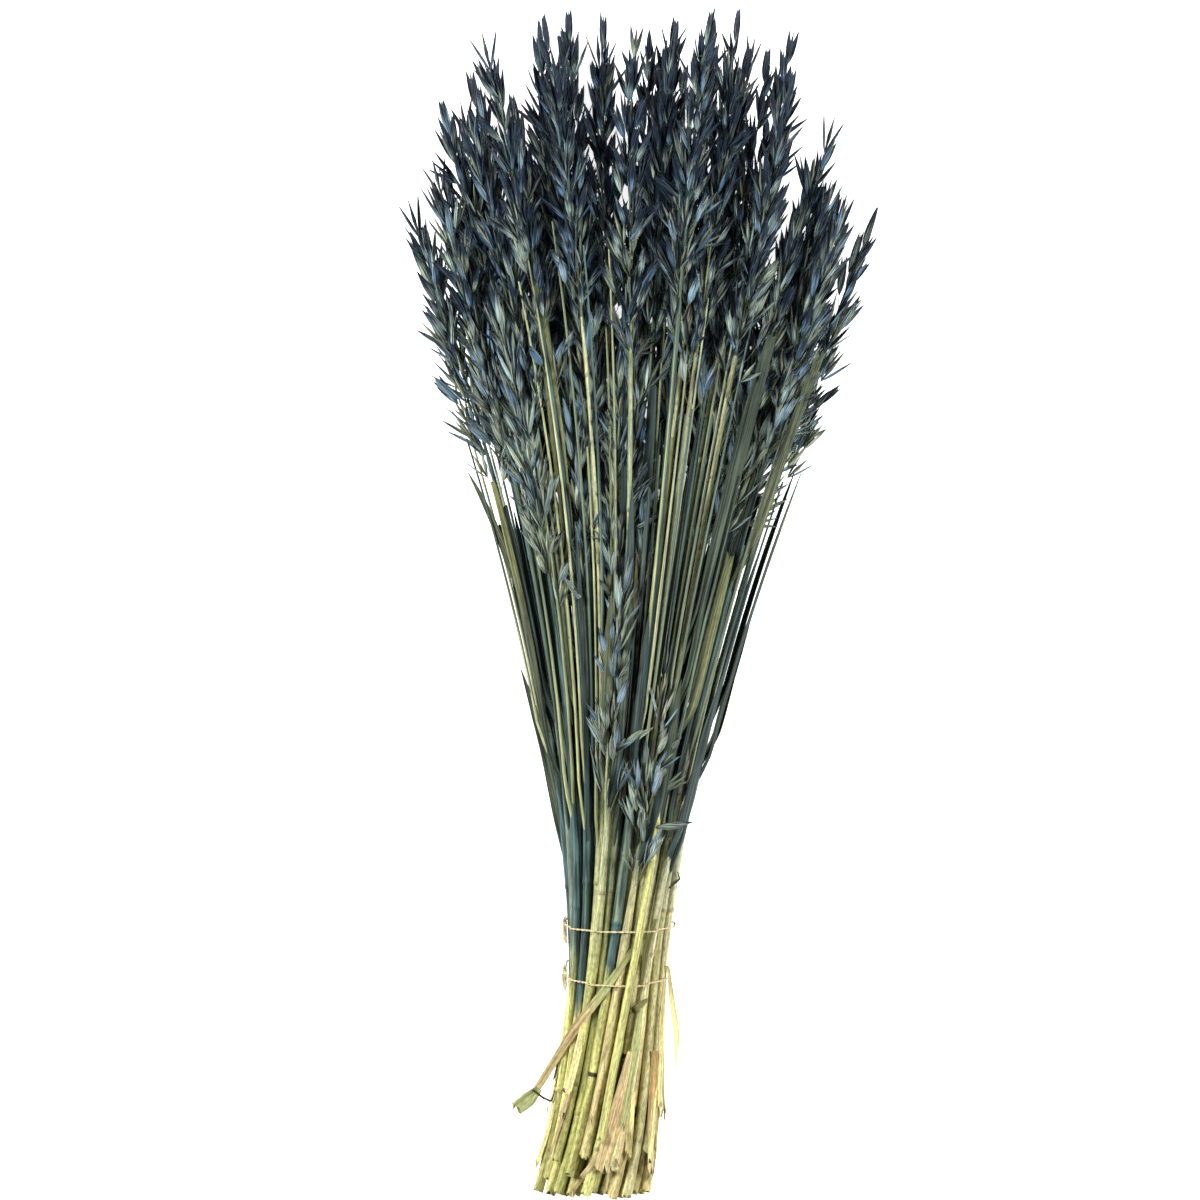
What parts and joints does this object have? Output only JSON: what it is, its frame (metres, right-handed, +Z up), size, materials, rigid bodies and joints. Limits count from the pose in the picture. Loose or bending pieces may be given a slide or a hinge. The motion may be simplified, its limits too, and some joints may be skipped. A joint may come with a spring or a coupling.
{
  "type": "dried oat bunch",
  "caption": "Bunch of dyed dried oats lying flat: hollow straw culms with leaf blades fan out to slender heads of pointed spikelets, bound near the cut foot by thin strings.",
  "frame": {"origin": "centre of the bounding box's underside, on the surface on which the bunch lies", "axes": "+Y along the bunch from the cut foot to the tips of the heads, +Z up from the surface, and +X to the right for an eye above the bunch that has the heads ahead"},
  "size_m": [0.258, 0.6494, 0.0997],
  "materials": {
    "oat": "matte dried plant, dyed blue-black at the heads and fading to pale straw at the foot",
    "twine": "matte, thin natural fibre string"
  },
  "bodies": {
    "root": {"stem_01": "oat", "stem_02": "oat", "stem_03": "oat", "stem_04": "oat", "stem_05": "oat", "stem_06": "oat", "stem_07": "oat", "stem_08": "oat", "stem_09": "oat", "stem_10": "oat", "stem_11": "oat", "stem_12": "oat", "stem_13": "oat", "stem_14": "oat", "stem_15": "oat", "stem_16": "oat", "stem_17": "oat", "stem_18": "oat", "stem_19": "oat", "stem_20": "oat", "stem_21": "oat", "stem_22": "oat", "stem_23": "oat", "stem_24": "oat", "stem_25": "oat", "stem_26": "oat", "stem_27": "oat", "stem_28": "oat", "stem_29": "oat", "stem_30": "oat", "stem_31": "oat", "stem_32": "oat", "stem_33": "oat", "stem_34": "oat", "stem_35": "oat", "stem_36": "oat", "stem_37": "oat", "stem_38": "oat", "stem_39": "oat", "stem_40": "oat", "stem_41": "oat", "stem_42": "oat", "stem_43": "oat", "stem_44": "oat", "stem_45": "oat", "stem_46": "oat", "stem_47": "oat", "stem_48": "oat", "stem_49": "oat", "stem_50": "oat", "stem_51": "oat", "stem_52": "oat", "stem_53": "oat", "stem_54": "oat", "stem_55": "oat", "stem_56": "oat", "tie_upper": "twine", "tie_lower": "twine"}
  },
  "joints": []
}
